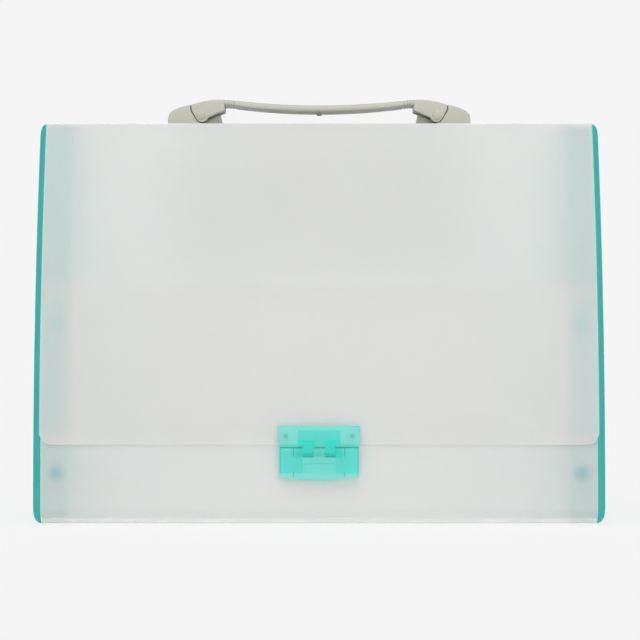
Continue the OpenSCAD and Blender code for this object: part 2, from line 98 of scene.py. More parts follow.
def grid_faces(rows, columns):
    """Quads (i, j), (i+1, j), (i+1, j+1), (i, j+1) of a grid whose last column meets its first."""
    i, j = np.meshgrid(np.arange(rows - 1), np.arange(columns), indexing="ij")
    here, beside = i.ravel() * columns + j.ravel(), i.ravel() * columns + (j.ravel() + 1) % columns
    return np.stack([here, here + columns, beside + columns, beside], 1)


def mesh_of(name, grids, capped=0):
    """One mesh from grids of points in millimetres, the first few closed with flat faces at their
    first and last rows. Doubles are merged and faces turned outwards."""
    points, faces, base = [], [], 0
    for k, grid in enumerate(grids):
        rows, columns = grid.shape[:2]
        faces += (grid_faces(rows, columns) + base).tolist()
        if k < capped:
            faces += [list(range(columns)), list(range((rows - 1) * columns, rows * columns))]
        points.append(grid.reshape(-1, 3) * MM)
        base += rows * columns
    mesh = bpy.data.meshes.new(name)
    mesh.from_pydata(np.concatenate(points).tolist(), [], faces)
    work = bmesh.new()
    work.from_mesh(mesh)
    bmesh.ops.remove_doubles(work, verts=work.verts, dist=SAME_POINT_M)
    bmesh.ops.dissolve_degenerate(work, edges=work.edges, dist=NO_LENGTH_M)
    bmesh.ops.recalc_face_normals(work, faces=work.faces)
    work.to_mesh(mesh)
    work.free()
    return smoothed(mesh)


def place(name, mesh, material, body=None, stands_for=()):
    """Puts a mesh in the scene as a piece, with its material and slot, the body that it rides on and
    the CAD nodes that it stands for."""
    piece = bpy.data.objects.new(name, mesh)
    bpy.context.scene.collection.objects.link(piece)
    mesh.materials.clear()
    mesh.materials.append(material)
    shade = piece.modifiers.new("even_shading", "WEIGHTED_NORMAL")
    shade.keep_sharp = True
    shade.weight = 80
    if body:
        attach(piece, body)
    if stands_for:
        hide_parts(*stands_for)
    return piece


def sheet_points(path, half_width, thickness, corner_start=0.0, corner_end=0.0, columns=12):
    """Grid of a bent sheet. Rows follow the path of its middle; columns go round a section that is
    two flat faces and two half circles. At both ends the thickness falls to nothing along a half
    circle, and over a free corner of radius R the half width is W - R + sqrt(R^2 - (R - s)^2)."""
    r = thickness / 2
    step = np.linalg.norm(np.diff(path, axis=0), axis=1)
    dist = np.concatenate([[0], np.cumsum(step)])
    total = dist[-1]
    quarter = np.radians(np.linspace(0, 90, 7))
    fine = [r * (1 - np.cos(quarter)), total - r * (1 - np.cos(quarter))]
    turn = np.radians(np.linspace(0, 90, 15))
    for radius, near_start in ((corner_start, True), (corner_end, False)):
        if radius:
            s = radius * (1 - np.cos(turn))
            fine.append(s if near_start else total - s)
    s = np.unique(np.round(np.concatenate(fine + [dist]), 6))
    s = s[np.concatenate([[True], np.diff(s) > 1e-3])]
    s[-1] = total
    centre = np.stack([np.interp(s, dist, path[:, k]) for k in (0, 1)], 1)
    way = np.gradient(path, dist, axis=0)
    way = np.stack([np.interp(s, dist, way[:, k]) for k in (0, 1)], 1)
    way /= np.linalg.norm(way, axis=1, keepdims=True)
    normal = np.stack([way[:, 1], -way[:, 0]], 1)
    nearest = np.minimum(s, total - s)
    height = np.sqrt(np.clip(r ** 2 - np.clip(r - nearest, 0, None) ** 2, 0, None))
    half = np.full_like(s, half_width)
    for radius, from_end in ((corner_start, s), (corner_end, total - s)):
        if radius:
            over = np.clip(radius - from_end, 0, None)
            half -= radius - np.sqrt(np.clip(radius ** 2 - over ** 2, 0, None))
    flat = np.concatenate([[-1], np.linspace(-0.995, 0.995, columns), [1]])
    bend = np.linspace(-90, 90, 9)[1:-1]
    across = np.concatenate([flat, np.ones_like(bend), flat[::-1], -np.ones_like(bend)])
    out, up = np.cos(np.radians(bend)), np.sin(np.radians(bend))
    round_x = np.concatenate([0 * flat, out, 0 * flat, -out])
    round_n = np.concatenate([1 + 0 * flat, -up, -1 + 0 * flat, up])
    x = across * (half[:, None] - r) + round_x * r
    off = round_n * height[:, None]
    y = centre[:, :1] + normal[:, :1] * off
    z = centre[:, 1:] + normal[:, 1:] * off
    return np.stack([x, y, z], 2)


# Sockets of a colour mix node: its share, its two colours, and the colour that comes out.
MIX_SHARE, MIX_A, MIX_B, MIX_OUT = 0, 6, 7, 2
ROUGH_SWING = 0.05


def empty_tree(holder):
    """The node tree of a material or a world, with nothing in it."""
    holder.use_nodes = True
    holder.node_tree.nodes.clear()
    return holder.node_tree


def wire(tree, *links):
    """Links sockets, each given as (node, output name or index, node, input name or index)."""
    for source, out, target, into in links:
        tree.links.new(source.outputs[out], target.inputs[into])


def new_node(tree, kind, **values):
    """A shader node; a value goes to the input socket of that name, or else to the property."""
    node = tree.nodes.new(kind)
    for key, value in values.items():
        name = key.replace("_", " ")
        found = [s for s in node.inputs if s.name.lower() == name.lower() and s.enabled]
        if found:
            found[0].default_value = value
        else:
            setattr(node, key, value)
    return node


def plastic(name, colour, shade, roughness, grain_mm, bump_mm, cloud_mm, through, shader):
    """Moulded or rolled plastic: soft clouds of a second shade, roughness that varies with them, and
    a fine grain in its surface. through is the share of light that it scatters to its far side,
    and shader holds the constant values of the Principled BSDF."""
    material = bpy.data.materials.new(name)
    tree = empty_tree(material)
    out = new_node(tree, "ShaderNodeOutputMaterial")
    skin = new_node(tree, "ShaderNodeBsdfPrincipled")
    place_in = new_node(tree, "ShaderNodeTexCoord")
    cloud = new_node(tree, "ShaderNodeTexNoise", Scale=1 / (cloud_mm * MM), Detail=4.0, Roughness=0.55)
    grain = new_node(tree, "ShaderNodeTexNoise", Scale=1 / (grain_mm * MM), Detail=3.0, Roughness=0.6)
    mix = new_node(tree, "ShaderNodeMix", data_type="RGBA")
    mix.inputs[MIX_A].default_value = (*colour, 1)
    mix.inputs[MIX_B].default_value = (*shade, 1)
    rough = new_node(tree, "ShaderNodeMapRange", To_Min=roughness - ROUGH_SWING,
                     To_Max=roughness + ROUGH_SWING)
    dents = new_node(tree, "ShaderNodeBump", Strength=1.0, Distance=bump_mm * MM)
    wire(tree, (place_in, "Object", cloud, "Vector"), (place_in, "Object", grain, "Vector"),
         (cloud, "Fac", rough, "Value"), (rough, "Result", skin, "Roughness"),
         (grain, "Fac", dents, "Height"), (dents, "Normal", skin, "Normal"),
         (cloud, "Fac", mix, MIX_SHARE), (mix, MIX_OUT, skin, "Base Color"))
    for key, value in shader.items():
        skin.inputs[key].default_value = value
    if not through:
        wire(tree, (skin, "BSDF", out, "Surface"))
        return material
    far = new_node(tree, "ShaderNodeBsdfTranslucent")
    both = new_node(tree, "ShaderNodeMixShader")
    both.inputs[0].default_value = through
    wire(tree, (mix, MIX_OUT, far, "Color"), (dents, "Normal", far, "Normal"),
         (skin, "BSDF", both, 1), (far, "BSDF", both, 2), (both, "Shader", out, "Surface"))
    return material


def painted_zones(material, zones):
    """Colours painted on a translucent moulding by zones: parts seen through it, the deeper and paler
    look of light that comes through where it is thicker or thinner, and painted shade. A zone is (x from
    the middle, z, half width, half height, soft edge, strength, colour), all lengths in mm; its share is
    strength times a smooth step of the distance from its box."""
    tree = material.node_tree
    place_in = new_node(tree, "ShaderNodeTexCoord")
    parts = new_node(tree, "ShaderNodeSeparateXYZ")
    size = new_node(tree, "ShaderNodeMath", operation="ABSOLUTE")
    flat = new_node(tree, "ShaderNodeCombineXYZ")
    wire(tree, (place_in, "Object", parts, 0), (parts, "X", size, 0), (size, 0, flat, "X"),
         (parts, "Z", flat, "Z"))
    paint = next(n for n in tree.nodes if n.type == "MIX")
    for x, z, half_w, half_h, soft, strength, colour in zones:
        off = new_node(tree, "ShaderNodeVectorMath", operation="SUBTRACT")
        off.inputs[1].default_value = (x * MM, 0, z * MM)
        far = new_node(tree, "ShaderNodeVectorMath", operation="ABSOLUTE")
        past = new_node(tree, "ShaderNodeVectorMath", operation="SUBTRACT")
        past.inputs[1].default_value = (half_w * MM, 0, half_h * MM)
        over = new_node(tree, "ShaderNodeVectorMath", operation="MAXIMUM")
        over.inputs[1].default_value = (0, 0, 0)
        gap = new_node(tree, "ShaderNodeVectorMath", operation="LENGTH")
        edge = new_node(tree, "ShaderNodeMapRange", interpolation_type="SMOOTHSTEP", From_Min=0.0,
                        From_Max=soft * MM, To_Min=strength, To_Max=0.0)
        wire(tree, (flat, 0, off, 0), (off, 0, far, 0), (far, 0, past, 0), (past, 0, over, 0),
             (over, 0, gap, 0), (gap, "Value", edge, "Value"))
        blend = new_node(tree, "ShaderNodeMix", data_type="RGBA")
        blend.inputs[MIX_B].default_value = (*colour, 1)
        wire(tree, (edge, "Result", blend, MIX_SHARE), (paint, MIX_OUT, blend, MIX_A))
        paint = blend
    for node in tree.nodes:
        if node.type in ("BSDF_PRINCIPLED", "BSDF_TRANSLUCENT"):
            wire(tree, (paint, MIX_OUT, node, 0))


# The wall and the loose panels are of the same plastic. The wall's copy shows the teal welds behind it,
# and the panels' copy a faint teal of the weld and flange behind them and a painted shadow under the
# lid.
BOSS_Z = (31.0, 120.0, 205.0)
WELD_X, WELD_SOFT = RIM_X - 10, 7.5
WELD_TINT, WELD_SHARES = (0.36, 0.80, 0.76), (0.65, 0.5, 0.3)
frost, welded_frost = [plastic(
    name, (0.905, 0.904, 0.896), (0.89, 0.889, 0.881), 0.45, 0.35, 0.004, 40.0, 0.35,
    {"Transmission Weight": 0.5, "IOR": 1.33, "Specular IOR Level": 0.4})
    for name in ("frosted_polypropylene", "welded_frosted_polypropylene")]
painted_zones(welded_frost, [
    (WELD_X, z, 0, 0, WELD_SOFT, share, WELD_TINT) for z, share in zip(BOSS_Z, WELD_SHARES)])
# The first zone is a painted shadow: the soft darker band that the handle and its backing strip would
# cast inside, seen through the flap.
painted_zones(frost, {
    "painted shadow of the handle under the lid": (0, 192, 62, 14, 60, 0.34, (0.76, 0.76, 0.755)),
    "middle weld": (WELD_X, BOSS_Z[1], 0, 0, WELD_SOFT, 0.16, WELD_TINT),
    "flange behind the edge": (RIM_X - 6, 95, 2, 36, 14, 0.12, WELD_TINT)}.values())


def wall_middle():
    """Side view of the folded wall half a thickness in: front arc, two round corners, back."""
    inner = SHEET_T / 2
    top_turn = front_turn(WALL_TOP, inner)
    crease_z = CASE_H - SHEET_T - SHEET_GAP
    return joined(
        arc((ARC_Y, CORNER_R), FRONT_R - inner, 180 - top_turn, 180, 40),
        arc((FOOT_Y + CORNER_R, CORNER_R), CORNER_R - inner, 180, 270, 16),
        arc((BACK_Y - CORNER_R, CORNER_R), CORNER_R - inner, 270, 360, 16),
        np.stack([np.full(24, BACK_Y - inner), np.linspace(CORNER_R, crease_z, 24)], 1))


place("folded_wall", mesh_of("folded_wall", [sheet_points(
    wall_middle(), SHEET_X, SHEET_T, corner_start=SHEET_CORNER_R)]),
    welded_frost, "case", ["wall_sheet"])

# The end caps: injection moulded in translucent teal polypropylene, one for each side.
# A rounded rim frames the sheet, a flange behind it carries the weld bosses, and the
# outer face has a shallow dish that keeps the thin wall flat.
CAP_T, BROW_R, FLANGE_W = 2.0, 3.0, 18.0
BOSS_D, BOSS_H, BOSS_WALL, BOSS_HOLE, BOSS_SUNK = 12.0, 4.0, 1.4, 2.6, 0.3
RIM_DROP, DISH_DEPTH, DISH_BORDER = 6.5, 1.2, 9.0
SEAT_GAP = 0.15
SEAT = SHEET_T + SEAT_GAP
SIDES = ((-1, "left"), (1, "right"))

teal = plastic(
    "teal_polypropylene", (0.055, 0.645, 0.605), (0.065, 0.69, 0.65), 0.34, 0.5, 0.006, 30.0, 0.4,
    {"Transmission Weight": 0.35, "IOR": 1.45, "Specular IOR Level": 0.5})


def outline(inset):
    """Closed side view of the case (y, z), moved in by inset: five arcs joined by straight runs."""
    low_r = max(CORNER_R - inset, BROW_R)
    low_z, high_z = inset + low_r, CASE_H - inset - BROW_R
    low_a = 180 - front_turn(low_z, inset + low_r)
    high_a = 180 - front_turn(high_z, inset + BROW_R)
    return joined(
        arc((front_y(low_z, inset + low_r), low_z), low_r, 270, low_a, 14),
        arc((ARC_Y, CORNER_R), FRONT_R - inset, low_a, high_a, 48)[1:],
        arc((front_y(high_z, inset + BROW_R), high_z), BROW_R, high_a, 90, 10)[1:],
        arc((BACK_Y - inset - BROW_R, high_z), BROW_R, 90, 0, 10),
        arc((BACK_Y - inset - low_r, low_z), low_r, 0, -90, 14))


def filleted(corners):
    """Open run of points (x, inset) through corners (x, inset, radius), each rounded by an arc that
    is tangent to both of its sides."""
    corners = np.asarray(corners, float)
    runs = [corners[:1, :2]]
    for before, here, after in zip(corners[:-2], corners[1:-1], corners[2:]):
        p, radius = here[:2], here[2]
        a, b = before[:2] - p, after[:2] - p
        a, b = a / np.linalg.norm(a), b / np.linalg.norm(b)
        half = math.acos(np.clip(a @ b, -1, 1)) / 2
        if radius == 0 or half > math.radians(89):
            runs.append(p[None])
            continue
        cut, middle = radius / math.tan(half), (a + b) / np.linalg.norm(a + b)
        centre = p + middle * radius / math.sin(half)
        start, end = p + a * cut - centre, p + b * cut - centre
        turn = math.acos(np.clip(start @ end / radius ** 2, -1, 1))
        t = np.linspace(0, 1, 7)[:, None]
        bend = np.sin((1 - t) * turn) * start + np.sin(t * turn) * end
        runs.append(centre + bend / math.sin(turn))
    return np.concatenate(runs + [corners[-1:, :2]])


def cap_points(side):
    """Grid of an end cap: rows are the case's side view at each inset, set at each x in turn."""
    hollow, outer = SEAT + CAP_T, CASE_W / 2
    mouth = RIM_X - FLANGE_W
    dish_in = RIM_DROP + DISH_BORDER
    a = np.radians(np.linspace(0, 90, 15))
    rim = np.stack([RIM_X + RIM_W * np.sin(a), RIM_DROP * (1 - np.cos(a))], 1)
    inside = filleted([(outer - DISH_DEPTH - CAP_T, hollow + 2.5, 0),
                       (outer - DISH_DEPTH - CAP_T, hollow, 1.2), (mouth, hollow, 0.6),
                       (mouth, SEAT, 0.6), (RIM_X, SEAT, 0.3), (RIM_X, 0, 0.3),
                       (RIM_X + 0.6, 0, 0)])[:-1]
    face = filleted([(outer, RIM_DROP + 0.5, 0), (outer, dish_in, 0.8),
                     (outer - DISH_DEPTH, dish_in + DISH_DEPTH, 0.8),
                     (outer - DISH_DEPTH, dish_in + DISH_DEPTH + 2, 0)])
    rows = np.concatenate([inside, rim[rim[:, 1] > 0.02], face])
    rings = [(x, outline(max(inset, 0))) for x, inset in rows]
    return np.stack([np.column_stack([np.full(len(ring), side * x), ring]) for x, ring in rings])


def boss_points(side, y, z, turn, back):
    """Grid of a weld boss: a round profile (radius, depth) turned about an axis square to the wall."""
    outer, hole = BOSS_D / 2, BOSS_D / 2 - BOSS_WALL
    profile = filleted([(0, 0, 0), (outer, 0, 0), (outer, BOSS_H, 0.6), (hole, BOSS_H, 0.4),
                        (hole, BOSS_H - BOSS_HOLE, 0.3), (0, BOSS_H - BOSS_HOLE, 0)])
    a = np.radians(np.linspace(0, 360, 49)[:-1])
    across = profile[:, :1] * np.cos(a)
    up = profile[:, :1] * np.sin(a)
    lean = math.radians(turn)
    deep = CAP_T + profile[:, 1:] - BOSS_SUNK + 0 * across
    yy = y + back * (deep * math.cos(lean) + up * math.sin(lean) * back)
    zz = z + up * math.cos(lean) - deep * math.sin(lean)
    xx = side * (RIM_X - FLANGE_W / 2) + across
    return np.stack([xx, yy, zz], 2)


for side, word in SIDES:
    grids = [cap_points(side)]
    grids += [boss_points(side, front_y(z, SEAT), z, front_turn(z, SEAT), 1) for z in BOSS_Z[:2]]
    grids += [boss_points(side, BACK_Y - SEAT, z, 0, -1) for z in BOSS_Z]
    place(f"{word}_cap", mesh_of(f"{word}_cap", grids, capped=1),
          teal, "case", [f"{word}_end_cap"])

# The lid: the next panel of the same frosted sheet, flat, between the upper edges of the end caps.
# It hinges on the crease behind it and carries the handle.
LID_FRONT_Y = front_y(CASE_H, -SHEET_GAP) + SHEET_GAP
LID_MIDDLE = CASE_H - SHEET_T / 2

lid_path = np.stack([np.linspace(LID_FRONT_Y, BACK_Y, 16), np.full(16, LID_MIDDLE)], 1)
place("lid_panel", mesh_of("lid_panel", [sheet_points(lid_path, SHEET_X, SHEET_T)]),
      frost, "lid", ["lid_top"])

# The back crease: a pressed line across the sheet, where it is thinner and bends. It joins the back
# wall to the lid and is the lid's hinge.
CREASE_T, BACK_BEND_R = 0.5, 0.6
CREASE_X = SHEET_X - 0.6

wall_mid_y = BACK_Y - SHEET_T / 2
back_crease_path = joined(
    [(wall_mid_y, CASE_H - 2.2)],
    arc((wall_mid_y - BACK_BEND_R, LID_MIDDLE - BACK_BEND_R), BACK_BEND_R, 0, 90, 8),
    [(wall_mid_y - 1.8, LID_MIDDLE)])
back_crease = place("back_crease", mesh_of("back_crease", [sheet_points(
    back_crease_path, CREASE_X, CREASE_T)]), frost)
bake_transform(back_crease)

# The front flap: the last panel, curved like the front wall that it lies on, with round corners.
# It is creased along the lid's front edge and carries the upper half of the latch.
FLAP_FOOT = 48.0
FLAP_MIDDLE = -(SHEET_GAP + SHEET_T / 2)
FLAP_X = RIM_X + 0.3

flap_path = arc((ARC_Y, CORNER_R), FRONT_R - FLAP_MIDDLE, 180 - front_turn(CASE_H, FLAP_MIDDLE),
                180 - front_turn(FLAP_FOOT, FLAP_MIDDLE), 60)
place("flap_panel", mesh_of("flap_panel", [sheet_points(
    flap_path, FLAP_X, SHEET_T, corner_end=SHEET_CORNER_R)]),
    frost, "front_flap", ["flap"])

# The front crease: a second pressed line, along the lid's front edge. It joins the lid to the flap
# and is the flap's hinge.
FRONT_BEND_R = 0.7

flap_top_y = front_y(LID_MIDDLE - FRONT_BEND_R, FLAP_MIDDLE)
front_crease_path = joined(
    [(LID_FRONT_Y + 1.6, LID_MIDDLE)],
    arc((flap_top_y + FRONT_BEND_R, LID_MIDDLE - FRONT_BEND_R), FRONT_BEND_R, 90, 180, 8),
    [(front_y(CASE_H - 3, FLAP_MIDDLE), CASE_H - 3)])
front_crease = place("front_crease", mesh_of("front_crease", [sheet_points(
    front_crease_path, CREASE_X, CREASE_T)]), frost)
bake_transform(front_crease)

# The latch plate: moulded in a paler teal, hollow behind except for the block in its middle, from
# which two lugs reach down to the pin. It lies on the flap's foot, and two small rivets hold it.
LATCH_GAP, BARREL_R, RESTING_GAP = 0.3, 3.0, 0.05
FLAP_OUT = SHEET_GAP + SHEET_T
PIN_ABOVE_WALL = BARREL_R + LATCH_GAP
PIN_ABOVE_FLAP = PIN_ABOVE_WALL - FLAP_OUT
LATCH_Z = FLAP_FOOT - PIN_ABOVE_WALL - SHEET_T
LATCH_LEAN = math.radians(front_turn(LATCH_Z, -FLAP_OUT))
LATCH_Y = front_y(LATCH_Z, -FLAP_OUT)
BEVEL_TURN, CAD_SAME_POINT_M, FLAT_TURN = 30, 2e-6, 0.6

pale_teal = plastic(
    "pale_teal_polypropylene", (0.185, 0.93, 0.865), (0.21, 0.96, 0.895), 0.30, 0.4, 0.004, 12.0, 0.35,
    {"Transmission Weight": 0.55, "IOR": 1.45, "Specular IOR Level": 0.5})
# These zones are painted light and shade of the light that comes through the latch: deeper teal where
# its walls are thick or seen edge-on, and paler where they are thin, at the hollow ends, the window and
# the upper and lower edges.
painted_zones(pale_teal, {
    "hollow ends of the plate": (18.5, 53.5, 5.2, 4.6, 1.0, 0.9, (0.46, 0.98, 0.93)),
    "upper edge of the plate": (0, 58, 20, 0.8, 0.8, 0.8, (0.46, 0.98, 0.93)),
    "side edges": (23.2, 38, 0.1, 9, 0.6, 0.6, (0.07, 0.70, 0.64)),
    "knuckles of the lever": (11.6, 43.8, 1.8, 3.0, 1.0, 0.7, (0.04, 0.93, 0.83)),
    "lugs of the plate": (7.8, 46.2, 4.4, 4.2, 0.9, 0.9, (0.05, 0.98, 0.88)),
    "window of the lever": (0, 35.6, 9.4, 5.0, 0.7, 0.85, (0.38, 0.96, 0.91)),
    "cross rib": (0, 37.0, 9.4, 0.1, 0.5, 0.7, (0.16, 0.80, 0.74)),
    "thumb edge": (0, 29.6, 24, 1.0, 0.9, 0.8, (0.50, 0.93, 0.88)),
    "side ribs above the window": (15.3, 43.9, 0.1, 2.4, 0.4, 0.8, (0.06, 0.62, 0.56)),
    "side ribs below the window": (15.3, 30.7, 0.1, 1.2, 0.4, 0.8, (0.06, 0.62, 0.56))}.values())


def softened(name, node, width):
    """A copy of a CAD node's mesh: loose triangles merged, flat faces joined, and a bevel of a given
    width in millimetres on each edge that turns by more than BEVEL_TURN degrees."""
    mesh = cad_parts[node].data.copy()
    mesh.name = name
    work = bmesh.new()
    work.from_mesh(mesh)
    bmesh.ops.remove_doubles(work, verts=work.verts, dist=CAD_SAME_POINT_M)
    bmesh.ops.dissolve_limit(work, angle_limit=math.radians(FLAT_TURN), verts=work.verts,
                             edges=work.edges, delimit=set())
    chosen = [e for e in work.edges
              if len(e.link_faces) == 2 and e.calc_face_angle(0) > math.radians(BEVEL_TURN)]
    bmesh.ops.bevel(work, geom=chosen, offset=width * MM, offset_type="OFFSET", segments=3,
                    profile=0.5, affect="EDGES", clamp_overlap=True, loop_slide=True)
    bmesh.ops.remove_doubles(work, verts=work.verts, dist=CAD_SAME_POINT_M)
    bmesh.ops.dissolve_degenerate(work, edges=work.edges, dist=NO_LENGTH_M)
    work.to_mesh(mesh)
    work.free()
    return smoothed(mesh)


place("latch_body", softened("latch_body", "latch_plate", 0.35), pale_teal,
      "front_flap", ["latch_plate"])

# The plate's rivets: two small moulded pins of a deeper teal, one near each end of the plate. They go
# through plate and flap, and each shows a low rounded head in front.
PLATE_T, PLATE_W, PLATE_H = 4.4, 48.6, 12.2
PLATE_FRONT = PIN_ABOVE_FLAP - RESTING_GAP - PLATE_T
PLATE_MIDDLE = PIN_ABOVE_WALL + PLATE_H / 2
RIVET_D, RIVET_X = 1.8, PLATE_W / 2 - 4.3
HEAD_R, HEAD_H, HEAD_CROWN = RIVET_D / 2 + 0.4, 0.5, 0.05

deep_teal = plastic(
    "rivet_teal", (0.17, 0.66, 0.61), (0.19, 0.70, 0.65), 0.35, 0.3, 0.003, 5.0, 0.3,
    {"Transmission Weight": 0.2, "IOR": 1.45})


def rivet_head(face):
    """Corners (radius, depth, rounding) of a rivet's head on a face, from its middle to its shank."""
    return [(0, face - HEAD_H, 0), (HEAD_R, face - HEAD_H + HEAD_CROWN, 0.3),
            (HEAD_R, face + 0.02, 0), (RIVET_D / 2, face + 0.02, 0)]


def turned(profile, steps=40):
    """Grid of a turned shape: a profile (radius, depth) carried round the y axis."""
    profile = np.asarray(profile, float)
    a = np.radians(np.linspace(0, 360, steps + 1)[:-1])
    r, d = profile[:, :1], profile[:, 1:]
    return np.stack([r * np.cos(a), d + 0 * a, r * np.sin(a)], 2)


def at_latch(points, x=0.0, z=0.0):
    """Points drawn about the latch pin, y inwards, moved to where the pin is on the leaning front."""
    y, up = points[..., 1] - PIN_ABOVE_FLAP, points[..., 2] + z
    c, s = math.cos(LATCH_LEAN), math.sin(LATCH_LEAN)
    return np.stack([points[..., 0] + x, LATCH_Y + y * c + up * s, LATCH_Z - y * s + up * c], -1)


plate_rivet = filleted(rivet_head(PLATE_FRONT) + [
    (RIVET_D / 2, PIN_ABOVE_FLAP + SHEET_T, 0), (0, PIN_ABOVE_FLAP + SHEET_T, 0)])
place("latch_rivets", mesh_of("latch_rivets", [
    at_latch(turned(plate_rivet), side * RIVET_X, PLATE_MIDDLE) for side in (-1, 1)]),
    deep_teal, "front_flap", ["plate_rivets"])

# The latch pin: a straight piece of bright steel wire, 1.8 mm thick, with rounded ends. It is pushed
# through the plate's two lugs and the lever's knuckles, and the lever swings on it.
PIN_R, RIB_X, EAR_T, LEVER_T = 0.9, 15.2, 2.0, 1.1

steel = plastic("bright_steel", (0.60, 0.61, 0.62), (0.52, 0.53, 0.55), 0.28, 0.2, 0.001, 3.0, 0.0,
                {"Metallic": 1.0})
pin_end = RIB_X + EAR_T - LEVER_T
wire_profile = filleted([(0, -pin_end, 0), (PIN_R, -pin_end, 0.25), (PIN_R, pin_end, 0.25),
                         (0, pin_end, 0)])
pin_grid = turned(wire_profile, 24)[..., [1, 0, 2]]
place("lever_pin", mesh_of("lever_pin", [at_latch(pin_grid)]), steel,
      "front_flap", ["latch_pin"])

# The latch lever: a thin shell that hooks over the pin and snaps on a bar of the catch. Its lower
# edge is curved for the thumb, and a thinner window with one cross rib shows in its middle.
place("lever_shell", softened("lever_shell", "latch_lever", 0.3), pale_teal,
      "lever", ["latch_lever"])

# The catch: a small moulded tray with a snap bar, of the same pale teal as the plate. It is riveted
# on the front wall behind the lever and shows through it.
place("catch_tray", softened("catch_tray", "latch_catch", 0.2), pale_teal,
      "case", ["latch_catch"])

# The catch's rivets: two moulded pins through the tray and the front wall. Each has a low head in
# front, and behind the wall its end is pressed flat and wide.
CATCH_T, CATCH_TOP, CATCH_LOW = 1.2, -3.3, -14.9
CATCH_X, CATCH_Z = 11.8, (CATCH_TOP + CATCH_LOW) / 2

catch_back, pressed_r = PIN_ABOVE_WALL + SHEET_T + SEAT_GAP, RIVET_D / 2 + 1
catch_rivet = filleted(rivet_head(PIN_ABOVE_WALL - RESTING_GAP - CATCH_T) + [
    (RIVET_D / 2, catch_back, 0), (pressed_r, catch_back, 0), (pressed_r, catch_back + 0.7, 0.4),
    (0, catch_back + 0.8, 0)])
place("tray_rivets", mesh_of("tray_rivets", [
    at_latch(turned(catch_rivet), side * CATCH_X, CATCH_Z) for side in (-1, 1)]),
    deep_teal, "case", ["catch_rivets"])

# The backing plate: a flat moulded strip of the handle's cream plastic, as long as the handle. It
# lies inside the lid and spreads the handle's pull over the sheet.
HANDLE_Y = (LID_FRONT_Y + BACK_Y) / 2
HANDLE_L, GRIP_W = 189.0, 20.0
BACKING_T, BACKING_CORNER_R = 1.6, 2.5
cream = plastic(
    "cream_polypropylene", (0.50, 0.495, 0.425), (0.47, 0.47, 0.40), 0.42, 0.45, 0.008, 18.0, 0.0,
    {"Subsurface Weight": 0.08, "Subsurface Radius": (0.002, 0.002, 0.0015), "IOR": 1.48})

backing_path = np.stack([np.linspace(HANDLE_Y - GRIP_W / 2, HANDLE_Y + GRIP_W / 2, 10),
                         np.full(10, CASE_H - SHEET_T - BACKING_T / 2)], 1)
place("backing_strip", mesh_of("backing_strip", [sheet_points(
    backing_path, HANDLE_L / 2, BACKING_T, BACKING_CORNER_R, BACKING_CORNER_R)]),
    cream, "lid", ["backing_plate"])

# The shoe screws: six steel screws, three to a shoe, that go up through the strip and the lid into
# the shoes. Each has a low head under the strip, with a small round socket in it.
PIVOT_X, WEB_INNER = 73.7, 13.4
SCREW_D, SCREW_REACH, SCREW_HEAD_R = 2.9, 4.2, 2.8
SCREW_X, SCREW_Y = HANDLE_L / 2 - 6.5, GRIP_W * 0.3
INNER_SCREW_X = PIVOT_X - WEB_INNER + 1.15 * SCREW_D

under, tip = CASE_H - SHEET_T - BACKING_T, CASE_H + SCREW_REACH
screw = filleted([(0, under - 1.0, 0), (0.9, under - 1.0, 0.1), (1.2, under - 1.75, 0.1),
                  (SCREW_HEAD_R, under - 1.5, 0.5), (SCREW_HEAD_R, under, 0), (SCREW_D / 2, under, 0),
                  (SCREW_D / 2, tip - 0.6, 0), (0.9, tip, 0), (0, tip, 0)])
screw_grid = turned(screw, 28)[..., [0, 2, 1]]
spots = [(side * SCREW_X, y) for side in (-1, 1) for y in (-SCREW_Y, SCREW_Y)]
spots += [(side * INNER_SCREW_X, 0) for side in (-1, 1)]
place("shoe_screw_set", mesh_of("shoe_screw_set", [
    screw_grid + np.array([x, HANDLE_Y + y, 0]) for x, y in spots]),
    steel, "lid", ["shoe_screws"])

# The shoes: cream mouldings screwed on the lid. Each has a thin foot, a sloping outer block hollowed
# round the knuckle's nose, and a web with a slot for the pivot pin, which slides as the grip lifts.
PIVOT_H, PIVOT_D = 7.1, 3.0
HEEL, FLANK_H = (-6.3, 6.4), 3.0
NOSE, NOSE_R = (0.3, -0.7), 4.0
FOOT_T, TOE_H, SHOE_GAP = 1.8, 2.5, 0.6
SLOPE_POWER, SLOPE_SPREAD = 0.27, 3.7
POCKET_GAP, WEB_HALF = 0.4, 3.0
SLOT_GAP, SLOT_SLIDE, SLOT_DROP = 0.4, 5.12, 0.15
AT_PIN = np.array([-PIVOT_X, PIVOT_H])


def moved_in(loop, distance):
    """A closed outline moved in by a distance: each point goes along the sum of its sides' normals,
    divided by one plus their product, so both sides move by the whole distance."""
    side = np.roll(loop, -1, axis=0) - loop
    side /= np.linalg.norm(side, axis=1, keepdims=True)
    area = np.sum(loop[:, 0] * np.roll(loop[:, 1], -1) - np.roll(loop[:, 0], -1) * loop[:, 1])
    normal = np.stack([-side[:, 1], side[:, 0]], 1) * np.sign(area)
    before = np.roll(normal, 1, axis=0)
    share = 1 + np.sum(normal * before, axis=1, keepdims=True)
    return loop + distance * (normal + before) / np.maximum(share, 0.5)


def slab(name, loop, y0, y1, radius):
    """Closed mesh of an outline (x, z) carried from y0 to y1, its ends rounded by a quarter circle."""
    loop = np.asarray(loop, float)
    a = np.radians(np.linspace(0, 90, 6)) if radius else np.array([math.pi / 2])
    ends = list(zip(radius * (1 - np.cos(a)), radius * (1 - np.sin(a))))
    rows = [(y0 + depth, drop) for depth, drop in ends]
    rows += [(y1 - depth, drop) for depth, drop in ends[::-1]]
    grid = np.stack([np.column_stack([moved_in(loop, drop), np.full(len(loop), y)])[:, [0, 2, 1]]
                     for y, drop in rows])
    return mesh_of(name, [grid], capped=1)


